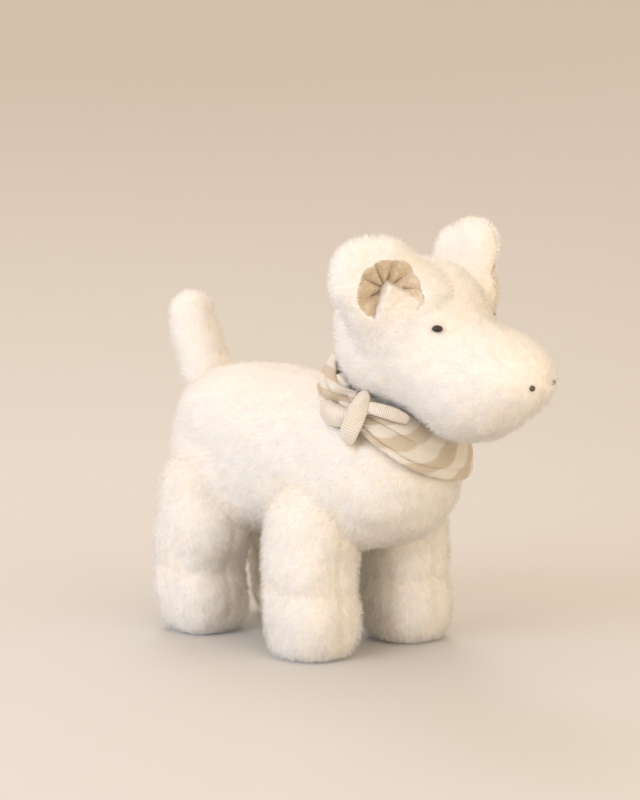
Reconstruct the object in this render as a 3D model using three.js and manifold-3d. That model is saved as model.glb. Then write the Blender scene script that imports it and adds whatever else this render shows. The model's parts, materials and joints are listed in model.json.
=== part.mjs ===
// A standing plush dog with a tied scarf, in millimetres, +X towards the nose and +Z up.
// Every stuffed limb is a fur fabric skin, cut into panels, around its own stuffing.
import * as THREE from "three";
import { mergeVertices } from "three/addons/utils/BufferGeometryUtils.js";
import Module from "manifold-3d";

const wasm = await Module();
wasm.setup();

// ---- driving dimensions ----
const DEG = Math.PI / 180;
const FUR = 5; // fur fabric thickness, pile and backing
const STUFFING_INSET = FUR + 2.5; // the stuffing stays clear of the skin's facets
const GAP = 0.3; // clearance between neighbouring solids
const SWEEP_GAP = 1.5; // clearance around a limb that moves
const FACET_GAP = 1.8; // more than that, where both sides of a round joint are faceted
const PLAIN_GAP = 3.2; // and more again, where one side is a shape with fewer facets
const FAR = 600; // side of the boxes that stand for half spaces
const BALL_COLUMNS = 14; // facets round a ball joint and its pocket
const SMALL_COLUMNS = 10; // facets of an eye bead, its shank and its washer
const SMALL_ROWS = 7;
const NOSTRIL_COLUMNS = 6;
const EAR_COLUMNS = 12;
const EAR_ROWS = 7;
const SCARF_COLUMNS = 24; // facets round the neck
const SCARF_ROWS = 7; // facets round the rolled cloth
const SEAM_COLUMNS = 30;
const UP = new THREE.Vector3(0, 0, 1);
const LEFTWARDS = new THREE.Vector3(0, 1, 0);

const BELLY_Z = 66; // underside of the trunk
const BACK_Z = 181; // top of the trunk
const TRUNK_HALF_WIDTH = 59;
const TRUNK_BLEND = 14;
const RUMP = { x: -42, halfLength: 55, power: 2.7 };
const WAIST = { x: 16, halfLength: 58, slimmer: 2 };
const CHEST = { x: 74, halfLength: 55, slimmer: 2, lower: 2, shallower: 5 };
const TRUNK_CENTRE_X = 10;
const GUSSET_HALF_WIDTH = 26;
const GUSSET_TOP = 96;

const LEG_Y = 42; // leg centre from the middle plane
const LEG_RADIUS = 30;
const LEG_SWING = 14; // degrees each way
const LEG_BLEND = 8;
const LEG_MIDDLE_Z = 48;
const SHIN = { forward: 1, z: 50, slimmer: 3, halfLength: 40 };
const LEGS = {
  leg_front_right: { x: 54, side: -1, hipZ: 80 },
  leg_front_left: { x: 54, side: 1, hipZ: 80 },
  leg_rear_right: { x: -58, side: -1, hipZ: 87 },
  leg_rear_left: { x: -58, side: 1, hipZ: 87 },
};
const PAW = { forward: 4, z: 20, radii: [32, 31, 28], power: 2.5 };
const SOLE_THICKNESS = 3;

const TAIL_BASE = new THREE.Vector3(-91, 0, 170);
const TAIL_TIP = new THREE.Vector3(-114, 0, 209);
const TAIL_RADIUS = 18;
const TAIL_TIP_RADIUS = 16.5;
const TAIL_BLEND = 6;
const TAIL_WAG = 25; // degrees each way

const NECK = new THREE.Vector3(87, 0, 166); // centre of the neck ball
const NECK_TILT = 35; // the neck axis leans forward from the vertical
const NECK_RADIUS = 30;
const NECK_RING_HALF = 21; // the neck skin is a ring this far each way along the axis

const HEAD_ORIGIN = new THREE.Vector3(104, 0, 216);
const HEAD_YAW = 12; // at rest the dog looks a little to its left
const HEAD_ROLL = 4;
const HEAD_BLEND = 7;
const HEAD_MIDDLE = [30, 0, -20];
const CRANIUM = { at: [2, 0, -6], radii: [50, 50, 48], power: 2.3 };
const MUZZLE = { at: [60, 0, -34], radii: [42, 44, 42], power: 2.3 };
const MUZZLE_SEAM = { at: [96, 0, -42], radius: 60 }; // the seam is an arc about a crosswise axis
const NOSTRIL = new THREE.Vector3(100, 14, -32);
const NOSTRIL_RADIUS = 1.8;

const EYE = new THREE.Vector3(41.6, 33.8, 3);
const EYE_AXIS = new THREE.Vector3(0.77, 0.63, 0.12).normalize();
const EYE_RADIUS = 3.6;
const EYE_SINK = 1.2; // centre of the bead below the fur surface
const EYE_SHANK_RADIUS = 1.6;
const EYE_SHANK_LENGTH = 13;
const WASHER_RADIUS = 6;
const WASHER_THICKNESS = 1.5;
const WASHER_DEPTH = 8;

// Each ear's centre, and how far outwards from straight ahead it opens. The left one flops sideways.
const EARS = {
  ear_right: { side: -1, at: [7, -46, 40], faceAngle: 41 },
  ear_left: { side: 1, at: [13, 49, 36], faceAngle: 70 },
};
const EAR_HALF_WIDTH = 29;
const EAR_HALF_HEIGHT = 25;
const EAR_HALF_DEPTH = 12;
const EAR_WALL = 5;
const LINING_THICKNESS = 2;
const EAR_HINGE_DROP = 12; // the fold line is this far below the ear's centre
const EAR_FOLD = [-6, 20];

const SCARF_CENTRE = new THREE.Vector3(85, 0, 161);
const SCARF_TILT = 37;
const SCARF_RADII = [46, 39]; // fore and aft, and across
const SCARF_ROLL = [8, 11]; // half thickness of the rolled cloth, outwards and along the neck
const DRAPE_THICKNESS = 4.5;
const DRAPE_HEM = new THREE.Vector3(132, 0, 120); // where the hem crosses the middle of the chest
const DRAPE_TILT = 37;
const DRAPE_ROLL = 11; // the cloth hangs lower on the dog's left, away from the knot
const DRAPE_BACK_X = 66;
const KNOT = new THREE.Vector3(96, -47, 160);
const KNOT_RADII = [9, 8, 9];

const HEAD_TURN = [-30, 18];
const HEAD_NOD = [-8, 8];

// ---- helpers: geometry to solids and back ----
function toSolid(geometry) {
  const bare = geometry.index ? geometry.toNonIndexed() : geometry.clone();
  bare.deleteAttribute("normal");
  bare.deleteAttribute("uv");
  const merged = mergeVertices(bare, 1e-4);
  return new wasm.Manifold(new wasm.Mesh({
    numProp: 3,
    vertProperties: new Float32Array(merged.attributes.position.array),
    triVerts: new Uint32Array(merged.index.array),
  }));
}

function toGeometry(solid) {
  const mesh = solid.getMesh();
  const geometry = new THREE.BufferGeometry();
  geometry.setAttribute("position", new THREE.BufferAttribute(new Float32Array(mesh.vertProperties), 3));
  geometry.setIndex(new THREE.BufferAttribute(new Uint32Array(mesh.triVerts), 1));
  geometry.computeVertexNormals();
  return geometry;
}

function largestPiece(solid) {
  const pieces = solid.decompose();
  return pieces.reduce((best, piece) => (piece.volume() > best.volume() ? piece : best));
}

function boxSolid(low, high) {
  const size = high.map((value, axis) => value - low[axis]);
  const middle = high.map((value, axis) => (value + low[axis]) / 2);
  return toSolid(new THREE.BoxGeometry(...size).translate(...middle));
}

// Everything on the side of a plane that its normal points to.
function halfSpace(point, normal) {
  const box = new THREE.BoxGeometry(FAR, FAR, FAR).translate(0, 0, FAR / 2);
  const turn = new THREE.Quaternion().setFromUnitVectors(UP, normal.clone().normalize());
  return toSolid(box.applyQuaternion(turn).translate(point.x, point.y, point.z));
}

function ballSolid(centre, radii, columns = BALL_COLUMNS) {
  const ball = new THREE.SphereGeometry(1, columns, Math.round(columns * 0.6)).rotateX(Math.PI / 2);
  return toSolid(ball.scale(...radii).translate(centre.x, centre.y, centre.z));
}

// A small cylinder about the Z axis.
function upright(radius, height) {
  return new THREE.CylinderGeometry(radius, radius, height, SMALL_COLUMNS).rotateX(Math.PI / 2);
}

// ---- helpers: rounded stuffed shapes, each a smooth union of swollen ellipsoids ----
function blob(at, radii, power = 2.2, frame = new THREE.Matrix4()) {
  return { at: new THREE.Vector3(...at), radii, power, inverse: frame.clone().invert() };
}

function blobDistance(part, point) {
  const local = point.clone().applyMatrix4(part.inverse).sub(part.at).toArray();
  const terms = local.map((value, axis) => Math.abs(value / part.radii[axis]) ** part.power);
  const reach = (terms[0] + terms[1] + terms[2]) ** (1 / part.power);
  return (reach - 1) * Math.cbrt(part.radii[0] * part.radii[1] * part.radii[2]);
}

function smoothMin(a, b, blend) {
  const overlap = Math.max(blend - Math.abs(a - b), 0) / blend;
  return Math.min(a, b) - overlap * overlap * blend / 4;
}

function shapeDistance(shape, point) {
  const distances = shape.blobs.map((part) => blobDistance(part, point));
  return distances.reduce((sum, value) => smoothMin(sum, value, shape.blend));
}

// A shape with fewer facets, for clearances.
function plain(shape) {
  return { ...shape, columns: shape.columns - 4, rows: shape.rows - 3 };
}

// The closed surface of a shape, grown outwards by an offset, seen from its centre in every direction.
function shapeSolid(shape, grow, frame = new THREE.Matrix4()) {
  const geometry = new THREE.SphereGeometry(1, shape.columns, shape.rows).rotateX(Math.PI / 2);
  const positions = geometry.attributes.position;
  const direction = new THREE.Vector3();
  for (let index = 0; index < positions.count; index += 1) {
    direction.fromBufferAttribute(positions, index).normalize();
    let inside = 0;
    let outside = FAR;
    for (let step = 0; step < 40; step += 1) {
      const middle = (inside + outside) / 2;
      const point = direction.clone().multiplyScalar(middle).add(shape.centre);
      if (shapeDistance(shape, point) < grow) inside = middle;
      else outside = middle;
    }
    direction.multiplyScalar(inside).add(shape.centre);
    positions.setXYZ(index, direction.x, direction.y, direction.z);
  }
  return toSolid(geometry.applyMatrix4(frame));
}

function turnAbout(point, axis, degrees) {
  const turn = new THREE.Matrix4().makeRotationAxis(axis.clone().normalize(), degrees * DEG);
  const there = new THREE.Matrix4().makeTranslation(point.x, point.y, point.z);
  const back = new THREE.Matrix4().makeTranslation(-point.x, -point.y, -point.z);
  return there.multiply(turn).multiply(back);
}

// ---- the model ----
const group = new THREE.Group();
const COLOURS = {
  fur: { color: "#f4ecdf", roughness: 0.95 },
  stuffing: { color: "#ffffff", roughness: 1 },
  scarf: { color: "#d9c8ac", roughness: 0.9 },
  linen: { color: "#d9bd97", roughness: 0.9 },
  eye: { color: "#14110f", roughness: 0.15 },
  washer: { color: "#e9e7e2", roughness: 0.5 },
  thread: { color: "#4a3d33", roughness: 0.8 },
};

function addNode(name, solid, look) {
  const material = new THREE.MeshStandardMaterial({ ...COLOURS[look], metalness: 0 });
  const mesh = new THREE.Mesh(toGeometry(largestPiece(solid)), material);
  mesh.name = name;
  group.add(mesh);
}

// ---- shapes ----
const trunkMiddleZ = (BELLY_Z + BACK_Z) / 2;
const trunkHalfHeight = (BACK_Z - BELLY_Z) / 2;
const trunkShape = {
  blobs: [
    blob([RUMP.x, 0, trunkMiddleZ], [RUMP.halfLength, TRUNK_HALF_WIDTH, trunkHalfHeight], RUMP.power),
    blob(
      [WAIST.x, 0, trunkMiddleZ],
      [WAIST.halfLength, TRUNK_HALF_WIDTH - WAIST.slimmer, trunkHalfHeight - WAIST.slimmer],
    ),
    blob(
      [CHEST.x, 0, trunkMiddleZ - CHEST.lower],
      [CHEST.halfLength, TRUNK_HALF_WIDTH - CHEST.slimmer, trunkHalfHeight - CHEST.shallower],
    ),
  ],
  blend: TRUNK_BLEND,
  centre: new THREE.Vector3(TRUNK_CENTRE_X, 0, trunkMiddleZ),
  columns: 20,
  rows: 12,
};

function legShape(leg) {
  const y = leg.side * LEG_Y;
  const shinRadius = LEG_RADIUS - SHIN.slimmer;
  return {
    blobs: [
      blob([leg.x, y, leg.hipZ], [LEG_RADIUS, LEG_RADIUS, LEG_RADIUS], 2),
      blob([leg.x + SHIN.forward, y, SHIN.z], [shinRadius, shinRadius, SHIN.halfLength]),
      blob([leg.x + PAW.forward, y, PAW.z], PAW.radii, PAW.power),
    ],
    blend: LEG_BLEND,
    centre: new THREE.Vector3(leg.x + SHIN.forward, y, LEG_MIDDLE_Z),
    columns: 12,
    rows: 9,
  };
}

function legHinge(leg) {
  return new THREE.Vector3(leg.x, leg.side * LEG_Y, leg.hipZ);
}

const tailShape = {
  blobs: [0, 0.5, 1].map((t) => {
    const at = TAIL_BASE.clone().lerp(TAIL_TIP, t);
    const radius = THREE.MathUtils.lerp(TAIL_RADIUS, TAIL_TIP_RADIUS, t);
    return blob([at.x, at.y, at.z], [radius, radius, radius], 2);
  }),
  blend: TAIL_BLEND,
  centre: TAIL_BASE.clone().lerp(TAIL_TIP, 0.5),
  columns: 10,
  rows: 8,
};

const headFrame = new THREE.Matrix4().makeTranslation(HEAD_ORIGIN.x, HEAD_ORIGIN.y, HEAD_ORIGIN.z)
  .multiply(new THREE.Matrix4().makeRotationZ(HEAD_YAW * DEG))
  .multiply(new THREE.Matrix4().makeRotationX(HEAD_ROLL * DEG));
const headShape = {
  blobs: [CRANIUM, MUZZLE].map((part) => blob(part.at, part.radii, part.power, headFrame)),
  blend: HEAD_BLEND,
  centre: new THREE.Vector3(...HEAD_MIDDLE).applyMatrix4(headFrame),
  columns: 18,
  rows: 12,
};

function headPoint(local) {
  return local.clone().applyMatrix4(headFrame);
}

function headDirection(local) {
  return local.clone().transformDirection(headFrame);
}

const neckAxis = new THREE.Vector3(Math.sin(NECK_TILT * DEG), 0, Math.cos(NECK_TILT * DEG));
const nodAxis = headDirection(LEFTWARDS);
const neckPocket = ballSolid(NECK, Array(3).fill(NECK_RADIUS + FACET_GAP));
const tailPocket = [-TAIL_WAG, 0, TAIL_WAG]
  .map((angle) => shapeSolid(tailShape, SWEEP_GAP, turnAbout(TAIL_BASE, new THREE.Vector3(1, 0, 0), angle)))
  .reduce((sum, solid) => sum.add(solid));

// The room that a leg needs in the trunk: a ball round the hip and a fan below it.
function legSweep(leg) {
  const hip = legHinge(leg);
  const radius = LEG_RADIUS + FACET_GAP;
  const fan = [-LEG_SWING, 0, LEG_SWING].map((angle) => {
    const shin = new THREE.CylinderGeometry(radius, radius, hip.z, BALL_COLUMNS).rotateX(Math.PI / 2);
    shin.translate(hip.x, hip.y, hip.z / 2);
    return toSolid(shin.applyMatrix4(turnAbout(hip, LEFTWARDS, angle)));
  });
  return fan.reduce((sum, solid) => sum.add(solid), ballSolid(hip, [radius, radius, radius]));
}

// ---- trunk: two side skins, a belly gusset and the stuffing ----
function addTrunk() {
  const openings = Object.values(LEGS).map(legSweep).reduce((sum, solid) => sum.add(solid))
    .add(neckPocket).add(tailPocket);
  const skin = shapeSolid(trunkShape, 0).subtract(shapeSolid(trunkShape, -FUR)).subtract(openings);
  const halfWidth = GUSSET_HALF_WIDTH;
  const gussetZone = boxSolid([-FAR, -halfWidth, 0], [FAR, halfWidth, GUSSET_TOP]);
  const gussetCut = boxSolid([-FAR, -halfWidth - GAP, 0], [FAR, halfWidth + GAP, GUSSET_TOP + GAP]);
  const middle = new THREE.Vector3(0, GAP / 2, 0);
  const left = halfSpace(middle, LEFTWARDS);
  const right = halfSpace(middle.clone().negate(), LEFTWARDS.clone().negate());
  addNode("torso_skin_right", skin.subtract(gussetCut).intersect(right), "fur");
  addNode("torso_skin_left", skin.subtract(gussetCut).intersect(left), "fur");
  addNode("belly_gusset", skin.intersect(gussetZone), "fur");
  addNode("torso_stuffing", shapeSolid(trunkShape, -STUFFING_INSET).subtract(openings), "stuffing");
}

// ---- legs: outer and inner panels, sole and stuffing ----
function addLeg(name, leg) {
  const shape = legShape(leg);
  const aboveFloor = halfSpace(new THREE.Vector3(), UP);
  const aboveSole = halfSpace(new THREE.Vector3(0, 0, SOLE_THICKNESS + GAP), UP);
  const stuffing = shapeSolid(shape, -STUFFING_INSET).intersect(aboveSole);
  const soleLayer = boxSolid([-FAR, -FAR, 0], [FAR, FAR, SOLE_THICKNESS]);
  const skin = shapeSolid(shape, 0).subtract(shapeSolid(shape, -FUR)).intersect(aboveFloor);
  const outward = new THREE.Vector3(0, leg.side, 0);
  const seam = new THREE.Vector3(0, leg.side * LEG_Y, 0);
  const outerSide = halfSpace(seam.clone().addScaledVector(outward, GAP / 2), outward);
  const innerSide = halfSpace(seam.clone().addScaledVector(outward, -GAP / 2), outward.clone().negate());
  addNode(`${name}_outer_skin`, skin.intersect(outerSide), "fur");
  addNode(`${name}_inner_skin`, skin.intersect(innerSide), "fur");
  addNode(`${name}_sole`, shapeSolid(shape, -FUR - GAP).intersect(soleLayer), "fur");
  addNode(`${name}_stuffing`, stuffing, "stuffing");
}

// ---- tail ----
function addTail() {
  const along = TAIL_TIP.clone().sub(TAIL_BASE).normalize();
  const beyondBase = halfSpace(TAIL_BASE.clone().addScaledVector(along, -TAIL_RADIUS / 3), along);
  const skin = shapeSolid(tailShape, 0).subtract(shapeSolid(tailShape, -FUR));
  addNode("tail_skin", skin.intersect(beyondBase), "fur");
  addNode("tail_stuffing", shapeSolid(tailShape, -STUFFING_INSET), "stuffing");
}

// ---- neck: a ring of fur fabric around a firm ball of stuffing ----
function addNeck() {
  const ball = ballSolid(NECK, Array(3).fill(NECK_RADIUS));
  const hollow = ballSolid(NECK, Array(3).fill(NECK_RADIUS - FUR));
  const core = ballSolid(NECK, Array(3).fill(NECK_RADIUS - FUR - GAP));
  const low = halfSpace(NECK.clone().addScaledVector(neckAxis, -NECK_RING_HALF), neckAxis);
  const high = halfSpace(NECK.clone().addScaledVector(neckAxis, NECK_RING_HALF), neckAxis.clone().negate());
  addNode("neck_skin", ball.subtract(hollow).intersect(low).intersect(high), "fur");
  addNode("neck_stuffing", core, "stuffing");
}

// ---- eyes: a bead with a shank through the fur, held by a washer inside ----
function onEyeAxis(solid, side, depth) {
  const out = headDirection(new THREE.Vector3(EYE_AXIS.x, side * EYE_AXIS.y, EYE_AXIS.z));
  const place = headPoint(new THREE.Vector3(EYE.x, side * EYE.y, EYE.z)).addScaledVector(out, -depth);
  const turn = new THREE.Quaternion().setFromUnitVectors(UP, out);
  return toSolid(solid.clone().applyQuaternion(turn).translate(place.x, place.y, place.z));
}

function eyeSolid(side, grow) {
  const bead = new THREE.SphereGeometry(EYE_RADIUS + grow, SMALL_COLUMNS, SMALL_ROWS);
  const shank = upright(EYE_SHANK_RADIUS + grow, EYE_SHANK_LENGTH + grow).translate(0, 0, -EYE_SHANK_LENGTH / 2);
  return onEyeAxis(bead, side, EYE_SINK).add(onEyeAxis(shank, side, EYE_SINK));
}

function washerSolid(side, grow) {
  return onEyeAxis(upright(WASHER_RADIUS + grow, WASHER_THICKNESS + 2 * grow), side, WASHER_DEPTH);
}

function nostrilSolid(side, grow) {
  const radius = NOSTRIL_RADIUS + grow;
  const place = headPoint(new THREE.Vector3(NOSTRIL.x, side * NOSTRIL.y, NOSTRIL.z));
  return ballSolid(place, [radius, radius, radius], NOSTRIL_COLUMNS);
}

// ---- ears: a dish of fur fabric with a gathered linen lining ----
function earFrame(ear) {
  return headFrame.clone()
    .multiply(new THREE.Matrix4().makeTranslation(...ear.at))
    .multiply(new THREE.Matrix4().makeRotationZ(ear.side * ear.faceAngle * DEG));
}

// In an ear's own frame +X is the way it opens, Y runs along its width and Z up.
function earBall(ear, forward, depth, width, height) {
  const ball = new THREE.SphereGeometry(1, EAR_COLUMNS, EAR_ROWS).rotateX(Math.PI / 2);
  ball.scale(depth, width, height).translate(forward, 0, 0);
  return toSolid(ball.applyMatrix4(earFrame(ear)));
}

function earHinge(ear) {
  return {
    point: new THREE.Vector3(0, 0, -EAR_HINGE_DROP).applyMatrix4(earFrame(ear)),
    axis: LEFTWARDS.clone().transformDirection(earFrame(ear)),
  };
}

function addEar(name, ear) {
  const hinge = earHinge(ear);
  const clearHead = [...EAR_FOLD, 0]
    .map((angle) => shapeSolid(plain(headShape), PLAIN_GAP, turnAbout(hinge.point, hinge.axis, -angle)))
    .reduce((sum, solid) => sum.add(solid));
  const outer = earBall(ear, 0, EAR_HALF_DEPTH, EAR_HALF_WIDTH, EAR_HALF_HEIGHT);
  const hollowSizes = [EAR_HALF_DEPTH - 1, EAR_HALF_WIDTH - EAR_WALL, EAR_HALF_HEIGHT - EAR_WALL];
  const forward = EAR_WALL;
  const hollow = earBall(ear, forward, ...hollowSizes);
  const liningOuter = earBall(ear, forward, ...hollowSizes.map((size) => size - GAP));
  const liningInner = earBall(ear, forward, ...hollowSizes.map((size) => size - GAP - LINING_THICKNESS));
  const mouth = new THREE.Vector3(EAR_WALL / 2, 0, 0).applyMatrix4(earFrame(ear));
  const face = new THREE.Vector3(-1, 0, 0).transformDirection(earFrame(ear));
  const behindMouth = halfSpace(mouth, face);
  addNode(`${name}_fur`, outer.subtract(hollow).subtract(clearHead), "fur");
  addNode(`${name}_lining`, liningOuter.subtract(liningInner).intersect(behindMouth).subtract(clearHead), "linen");
}

function muzzleZone(grow) {
  const radius = MUZZLE_SEAM.radius + grow;
  const drum = new THREE.CylinderGeometry(radius, radius, FAR, SEAM_COLUMNS).translate(...MUZZLE_SEAM.at);
  return toSolid(drum.applyMatrix4(headFrame));
}

// ---- head: side skins and muzzle panel around one stuffing, with eyes and nostrils ----
function addHead() {
  let fittings = neckPocket;
  for (const side of [-1, 1]) {
    fittings = fittings.add(eyeSolid(side, GAP)).add(washerSolid(side, GAP)).add(nostrilSolid(side, GAP));
  }
  const skin = shapeSolid(headShape, 0).subtract(shapeSolid(headShape, -FUR)).subtract(fittings);
  const across = headDirection(LEFTWARDS);
  const crown = headPoint(new THREE.Vector3());
  const left = halfSpace(crown.clone().addScaledVector(across, GAP / 2), across);
  const right = halfSpace(crown.clone().addScaledVector(across, -GAP / 2), across.clone().negate());
  addNode("head_skin_right", skin.subtract(muzzleZone(GAP)).intersect(right), "fur");
  addNode("head_skin_left", skin.subtract(muzzleZone(GAP)).intersect(left), "fur");
  addNode("muzzle_skin", skin.intersect(muzzleZone(0)), "fur");
  addNode("head_stuffing", shapeSolid(headShape, -STUFFING_INSET).subtract(fittings), "stuffing");
  for (const [suffix, side] of [["right", -1], ["left", 1]]) {
    addNode(`eye_${suffix}`, eyeSolid(side, 0), "eye");
    addNode(`eye_washer_${suffix}`, washerSolid(side, 0).subtract(eyeSolid(side, GAP)), "washer");
    addNode(`nostril_${suffix}`, nostrilSolid(side, 0), "thread");
  }
  for (const [name, ear] of Object.entries(EARS)) addEar(name, ear);
}

// ---- scarf: a rolled ring round the neck, a drape over the chest, a knot and its two ends ----
// The room that the head needs as it turns and nods, from its places at the ends of both motions.
function headSweep() {
  const nods = HEAD_NOD.map((angle) => turnAbout(NECK, nodAxis, angle));
  const turns = [...HEAD_TURN, 0].map((angle) => turnAbout(NECK, neckAxis, angle));
  return turns
    .flatMap((turn) => nods.map((nod) => turn.clone().multiply(nod)))
    .map((frame) => shapeSolid(plain(headShape), PLAIN_GAP, frame))
    .reduce((sum, solid) => sum.add(solid));
}

// A closed ring with an oval cross-section, tilted round the neck.
function scarfRing(grow) {
  const torus = new THREE.TorusGeometry(1, 1, SCARF_ROWS, SCARF_COLUMNS);
  const ring = torus.attributes.position;
  for (let index = 0; index < ring.count; index += 1) {
    const angle = Math.atan2(ring.getY(index), ring.getX(index));
    const out = (Math.hypot(ring.getX(index), ring.getY(index)) - 1) * (SCARF_ROLL[0] + grow);
    const fore = (SCARF_RADII[0] + out) * Math.cos(angle);
    const across = (SCARF_RADII[1] + out) * Math.sin(angle);
    ring.setXYZ(index, fore, across, ring.getZ(index) * (SCARF_ROLL[1] + grow));
  }
  torus.rotateY(SCARF_TILT * DEG).translate(SCARF_CENTRE.x, SCARF_CENTRE.y, SCARF_CENTRE.z);
  return toSolid(torus);
}

function addScarf() {
  const clear = headSweep().add(neckPocket);
  const trunk = shapeSolid(trunkShape, GAP);
  const knotHole = ballSolid(KNOT, KNOT_RADII.map((size) => size + GAP));
  addNode("scarf_ring", scarfRing(0).subtract(clear).subtract(trunk).subtract(knotHole), "scarf");
  addNode("scarf_knot", ballSolid(KNOT, KNOT_RADII).subtract(trunk).subtract(clear), "scarf");
  const hemTurn = new THREE.Euler(-DRAPE_ROLL * DEG, DRAPE_TILT * DEG, 0, "YXZ");
  const aboveHem = halfSpace(DRAPE_HEM, UP.clone().applyEuler(hemTurn));
  const inFront = halfSpace(new THREE.Vector3(DRAPE_BACK_X, 0, 0), new THREE.Vector3(1, 0, 0));
  const cloth = shapeSolid(trunkShape, GAP + DRAPE_THICKNESS).subtract(trunk);
  const drape = cloth.intersect(aboveHem).intersect(inFront);
  addNode("scarf_drape", drape.subtract(scarfRing(GAP)).subtract(clear).subtract(knotHole), "scarf");
}

addTrunk();
for (const [name, leg] of Object.entries(LEGS)) addLeg(name, leg);
addTail();
addNeck();
addHead();
addScarf();

// The origin is on the ground, under the middle of the whole toy.
const extent = new THREE.Box3().setFromObject(group);
group.position.set(-(extent.min.x + extent.max.x) / 2, -(extent.min.y + extent.max.y) / 2, 0);

export default group;
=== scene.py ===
import json
import math

import bmesh
import bpy
import numpy as np
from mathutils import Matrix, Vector
from mathutils.kdtree import KDTree


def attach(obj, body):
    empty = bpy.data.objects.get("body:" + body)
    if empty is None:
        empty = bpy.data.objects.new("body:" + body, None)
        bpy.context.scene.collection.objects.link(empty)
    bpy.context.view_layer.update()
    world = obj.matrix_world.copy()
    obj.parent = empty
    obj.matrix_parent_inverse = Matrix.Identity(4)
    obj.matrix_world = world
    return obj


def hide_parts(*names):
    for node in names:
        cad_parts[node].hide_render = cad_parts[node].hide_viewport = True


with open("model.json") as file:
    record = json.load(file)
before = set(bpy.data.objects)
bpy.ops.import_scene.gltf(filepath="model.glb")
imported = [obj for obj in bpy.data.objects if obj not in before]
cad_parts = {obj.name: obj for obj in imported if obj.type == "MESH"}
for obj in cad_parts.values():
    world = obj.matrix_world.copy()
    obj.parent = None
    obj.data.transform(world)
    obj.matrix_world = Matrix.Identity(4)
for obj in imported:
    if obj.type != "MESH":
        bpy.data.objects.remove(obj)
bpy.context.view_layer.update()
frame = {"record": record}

# ---- driving dimensions, millimetres
# Shapes are laid out in the toy's own design frame: the ground is z = 0, the middle plane is y = 0
# and x = 0 is near the middle of the trunk. ORIGIN_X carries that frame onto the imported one.
JOINTS = {joint["name"]: joint for joint in frame["record"]["behaviour"]["joints"]}
FRONT_HIP_X = 54.0
ORIGIN_X = JOINTS["leg_front_right_swing"]["pos_m"][0] * 1000 - FRONT_HIP_X

BACKING_DEPTH = 3.8  # the fabric's backing lies this far below the toy's outline
PILE_LENGTH = 6.0
NECK_PILE_LENGTH = 3.5
PILE_LEAN = 1.3  # sideways reach of a hair for each millimetre of its height
HAIR_WIDTH = 0.46
HAIR_AREA = 1.0  # square millimetres of fabric for each hair
HAIR_FOOT = 0.7  # a hair starts this far inside the backing
CREASE_REACH = 12.0  # fur is shorter, and carries painted shade, within this distance of a neighbour
GROUND_CLEARANCE = 0.4
LOWEST_ROOT = 1.0
LUMPS = ((0.8, 36), (0.3, 12))  # height and size of the stuffing's lumps
FILLET = 22  # how widely the fabric rises where two parts meet
TAIL_FILLET = 18
FINE, COARSE = 6, 5  # subdivisions of a part's skin
# the random numbers of each part start from its own seed
SEEDS = {
    "torso": 11, "head": 31, "legs": 40, "tail": 71,
    "neck": 81, "nostrils": 91, "ears": 101, "scarf": 301,
}

TRUNK_MIDDLE_Z = 123.5
TRUNK_HALF_HEIGHT = 57.5
TRUNK_HALF_WIDTH = 59.0
TRUNK_BLEND = 18  # how widely the swellings of a part flow together
HEAD_BLEND = 20
LEG_BLEND = 11
EAR_FLAP_BLEND = 10
SCARF_BED_BLEND = 14

LEG_Y = 42.0
LEG_RADIUS = 30.0
ANKLE_Z, HEEL_Z = 47.0, 40.0
# centre of the hip along the toy, side, height of the hip
LEGS = {
    "leg_front_right": (54.0, -1, 80.0),
    "leg_front_left": (54.0, 1, 80.0),
    "leg_rear_right": (-58.0, -1, 87.0),
    "leg_rear_left": (-58.0, 1, 87.0),
}

TAIL_BASE = np.array((-98.0, 0.0, 167.0))
TAIL_TIP = np.array((-116.5, 0.0, 209.0))
TAIL_RADII = (21.0, 18.6)

NECK = np.array((87.0, 0.0, 166.0))
NECK_RADIUS = 30.0

HEAD_ORIGIN = np.array((104.0, 0.0, 216.0))
HEAD_YAW = math.radians(12)
HEAD_ROLL = math.radians(4)

EYE = (43.2, 33.0, 4.4)
EYE_AXIS = (0.77, 0.63, 0.12)
EYE_RADII = (3.5, 3.3, 2.3)
EYE_SINK = 4.1
NOSTRIL = (90.0, 10.0, -32.0)
NOSTRIL_AXIS = (0.93, 0.36, -0.08)
NOSTRIL_RADIUS = 1.8
NOSTRIL_SINK = 3.2

# side of the head, centre in the head's frame, outward turn of the opening
EARS = {
    "ear_right": (-1, (7.0, -46.0, 40.0), 41.0),
    "ear_left": (1, (15.0, 51.0, 39.0), 70.0),
}
EAR_RADII = (13.0, 30.5, 30.0)
EAR_BLOBS = {
    -1: [((-4.0, -1.0, -5.0), EAR_RADII)],
    1: [((-4.0, -2.0, -6.0), EAR_RADII), ((-3.0, 10.0, 9.0), (12.0, 17.0, 16.5))],
}
EAR_BLEND = 24.0  # how widely the ear flows into the head
EAR_SKIRT = 17.0  # the ear's fabric ends this far outside its flap
EAR_BOWL = -8.0  # depth of the bowl inside the ear, along the way it opens
EAR_FRONT = -4.0  # what lies ahead of this is the ear's open face
BOWL_RIM = 2.6  # the bowl's wall is this wide
BOWL_BALD = 2.2  # no hair is rooted farther inside the opening than this
BOWL_SLOPE = 0.02
OPENING_CENTRE = (6.0, -12.0)  # outward over the face and up, in the ear's frame
OPENING_RADII = (20.0, 19.5)
NOTCH_TURN, NOTCH_WIDTH = 2.15, 0.16  # radians round the opening
NOTCH_DEPTH, RIM_RIPPLE = 0.09, 0.03  # shares of the opening's radius
MOUND_PEAK = (7.0, -5.0)  # the furry mound that rises into the opening
MOUND_SLOPES = (2.4, 0.6)  # behind its peak and in front of it
MOUND_ROUNDING = 1.5
MOUND_PAINTED_SHADE = (3.0, 8.0, -15.0)  # middle of the painted shade on the mound's fur
MOUND_PAINTED_SHADE_RADIUS = 13.0
# tone steps of painted shade at the mound's middle
MOUND_PAINTED_SHADE_DEPTH = 3.0
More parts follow.
